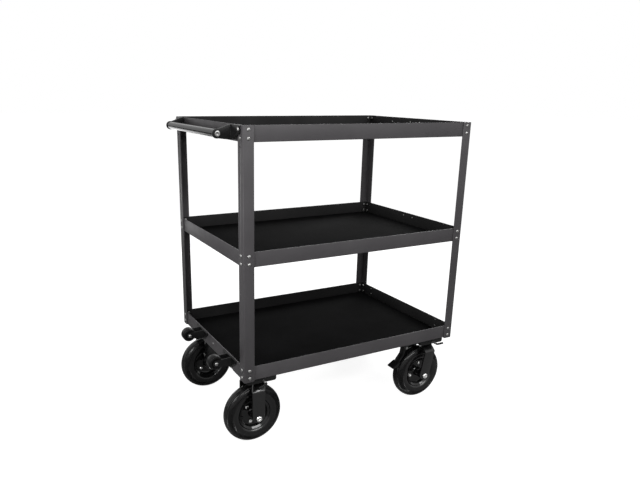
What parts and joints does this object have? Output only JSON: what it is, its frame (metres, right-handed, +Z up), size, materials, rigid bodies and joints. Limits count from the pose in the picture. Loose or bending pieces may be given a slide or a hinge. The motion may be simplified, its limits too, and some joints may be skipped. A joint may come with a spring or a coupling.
{
  "type": "camera cart",
  "caption": "Rolling equipment cart: lipped steel shelves between corner posts, an end push handle, bumper rollers, and swivel casters with air tyres, foot brakes and lock pins.",
  "frame": {"origin": "on the floor, under the middle of the cart's overall length and width", "axes": "+Z up, +X from the push handle's end towards the plain end with the braked casters, +Y from the front long side to the rear long side"},
  "size_m": [1.0046, 0.6934, 1.1195],
  "materials": {
    "frame": "charcoal powder coat, satin",
    "mat": "thin black liner, matt",
    "handle": "black enamel, gloss",
    "fitting": "black powder coat, satin",
    "screw": "bright zinc plate",
    "roller": "black rubber, soft sheen",
    "caster": "dark steel, satin",
    "rim": "black enamel, gloss",
    "tyre": "black rubber, fine ribs"
  },
  "bodies": {
    "frame": {"shelf_bottom": "frame", "shelf_middle": "frame", "shelf_top": "frame", "mat_bottom": "mat", "mat_middle": "mat", "mat_top": "mat", "corner_post_front_left": "frame", "corner_post_rear_left": "frame", "corner_post_front_right": "frame", "corner_post_rear_right": "frame", "handle_tube": "handle", "handle_bracket_front": "fitting", "handle_bracket_rear": "fitting", "handle_screw_front": "screw", "handle_screw_rear": "screw", "bumper_bracket_front": "fitting", "bumper_bracket_rear": "fitting", "bumper_axle_front": "screw", "bumper_axle_rear": "screw", "mount_box_front_left": "frame", "mount_box_rear_left": "frame", "mount_box_front_right": "frame", "mount_box_rear_right": "frame", "caster_plate_front_left": "caster", "caster_plate_rear_left": "caster", "caster_plate_front_right": "caster", "caster_plate_rear_right": "caster"},
    "swivel_front_left": {"fork_front_left": "caster", "kingpin_front_left": "screw", "axle_bolt_front_left": "screw"},
    "swivel_rear_left": {"fork_rear_left": "caster", "kingpin_rear_left": "screw", "axle_bolt_rear_left": "screw"},
    "swivel_front_right": {"fork_front_right": "caster", "kingpin_front_right": "screw", "axle_bolt_front_right": "screw", "brake_pin_front_right": "screw"},
    "swivel_rear_right": {"fork_rear_right": "caster", "kingpin_rear_right": "screw", "axle_bolt_rear_right": "screw", "brake_pin_rear_right": "screw"},
    "wheel_front_left": {"tyre_front_left": "tyre", "rim_front_left": "rim"},
    "wheel_rear_left": {"tyre_rear_left": "tyre", "rim_rear_left": "rim"},
    "wheel_front_right": {"tyre_front_right": "tyre", "rim_front_right": "rim"},
    "wheel_rear_right": {"tyre_rear_right": "tyre", "rim_rear_right": "rim"},
    "lock_front_left": {"lock_pin_front_left": "fitting"},
    "lock_rear_left": {"lock_pin_rear_left": "fitting"},
    "lock_front_right": {"lock_pin_front_right": "fitting"},
    "lock_rear_right": {"lock_pin_rear_right": "fitting"},
    "brake_front_right": {"brake_lever_front_right": "fitting"},
    "brake_rear_right": {"brake_lever_rear_right": "fitting"},
    "roller_front": {"bumper_roller_front": "roller"},
    "roller_rear": {"bumper_roller_rear": "roller"}
  },
  "joints": [
    {"name": "swivel_front_left", "type": "hinge", "parent": "frame", "child": "swivel_front_left", "pos_m": [-0.3391, -0.234, 0.25], "axis": [0, 0, 1], "continuous": true},
    {"name": "swivel_rear_left", "type": "hinge", "parent": "frame", "child": "swivel_rear_left", "pos_m": [-0.3391, 0.234, 0.25], "axis": [0, 0, 1], "continuous": true},
    {"name": "swivel_front_right", "type": "hinge", "parent": "frame", "child": "swivel_front_right", "pos_m": [0.4103, -0.234, 0.25], "axis": [0, 0, 1], "continuous": true},
    {"name": "swivel_rear_right", "type": "hinge", "parent": "frame", "child": "swivel_rear_right", "pos_m": [0.4103, 0.234, 0.25], "axis": [0, 0, 1], "continuous": true},
    {"name": "spin_front_left", "type": "hinge", "parent": "swivel_front_left", "child": "wheel_front_left", "pos_m": [-0.3561, -0.234, 0.109], "axis": [0, 1, 0], "continuous": true},
    {"name": "spin_rear_left", "type": "hinge", "parent": "swivel_rear_left", "child": "wheel_rear_left", "pos_m": [-0.3561, 0.234, 0.109], "axis": [0, 1, 0], "continuous": true},
    {"name": "spin_front_right", "type": "hinge", "parent": "swivel_front_right", "child": "wheel_front_right", "pos_m": [0.3933, -0.234, 0.109], "axis": [0, 1, 0], "continuous": true},
    {"name": "spin_rear_right", "type": "hinge", "parent": "swivel_rear_right", "child": "wheel_rear_right", "pos_m": [0.3933, 0.234, 0.109], "axis": [0, 1, 0], "continuous": true},
    {"name": "lock_front_left", "type": "slide", "parent": "frame", "child": "lock_front_left", "axis": [0, 1, 0], "range_m": [0, 0.008]},
    {"name": "lock_rear_left", "type": "slide", "parent": "frame", "child": "lock_rear_left", "axis": [0, -1, 0], "range_m": [0, 0.008]},
    {"name": "lock_front_right", "type": "slide", "parent": "frame", "child": "lock_front_right", "axis": [0, 1, 0], "range_m": [0, 0.008]},
    {"name": "lock_rear_right", "type": "slide", "parent": "frame", "child": "lock_rear_right", "axis": [0, -1, 0], "range_m": [0, 0.008]},
    {"name": "brake_front_right", "type": "hinge", "parent": "swivel_front_right", "child": "brake_front_right", "pos_m": [0.3223, -0.234, 0.23], "axis": [0, 1, 0], "range_deg": [-4.5, 0]},
    {"name": "brake_rear_right", "type": "hinge", "parent": "swivel_rear_right", "child": "brake_rear_right", "pos_m": [0.3223, 0.234, 0.23], "axis": [0, 1, 0], "range_deg": [-4.5, 0]},
    {"name": "roller_front", "type": "hinge", "parent": "frame", "child": "roller_front", "pos_m": [-0.4773, -0.185, 0.3084], "axis": [0, 1, 0], "continuous": true},
    {"name": "roller_rear", "type": "hinge", "parent": "frame", "child": "roller_rear", "pos_m": [-0.4773, 0.093, 0.3084], "axis": [0, 1, 0], "continuous": true}
  ]
}
